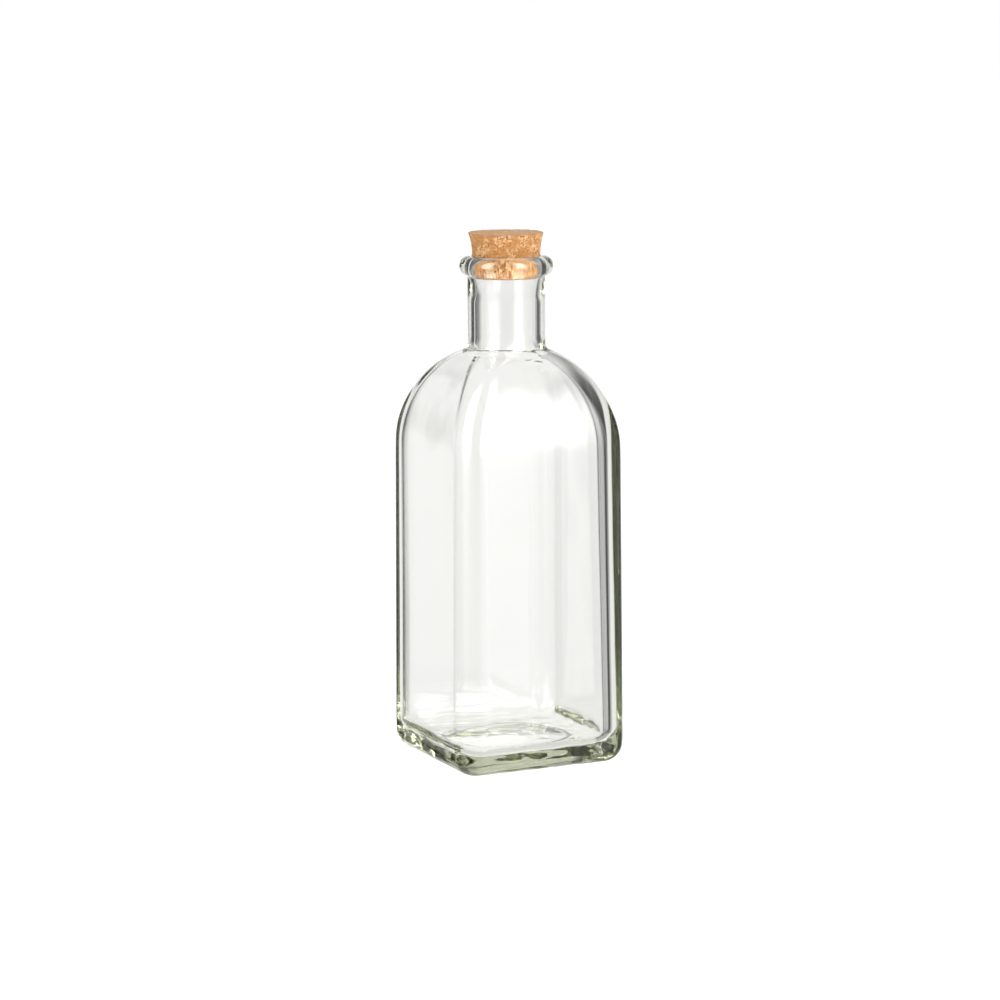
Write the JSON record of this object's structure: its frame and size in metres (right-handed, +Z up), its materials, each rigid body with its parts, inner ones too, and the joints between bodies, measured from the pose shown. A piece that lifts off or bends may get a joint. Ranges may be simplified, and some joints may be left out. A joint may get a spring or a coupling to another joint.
{
  "type": "glass bottle with cork stopper",
  "caption": "Empty clear glass bottle with a square body, arched shoulders, a round neck with a rolled lip and a tapered cork stopper pushed into its mouth.",
  "frame": {"origin": "on the standing plane, under the middle of the bottle", "axes": "+Z up along the bottle's axis, +X and +Y square to its flat faces"},
  "size_m": [0.07, 0.07, 0.2009],
  "materials": {
    "glass": "clear soda-lime glass with a faint green cast, polished",
    "cork": "agglomerated cork, matte, with darker granules"
  },
  "bodies": {
    "root": {"bottle": "glass", "cork": "cork"}
  },
  "joints": []
}
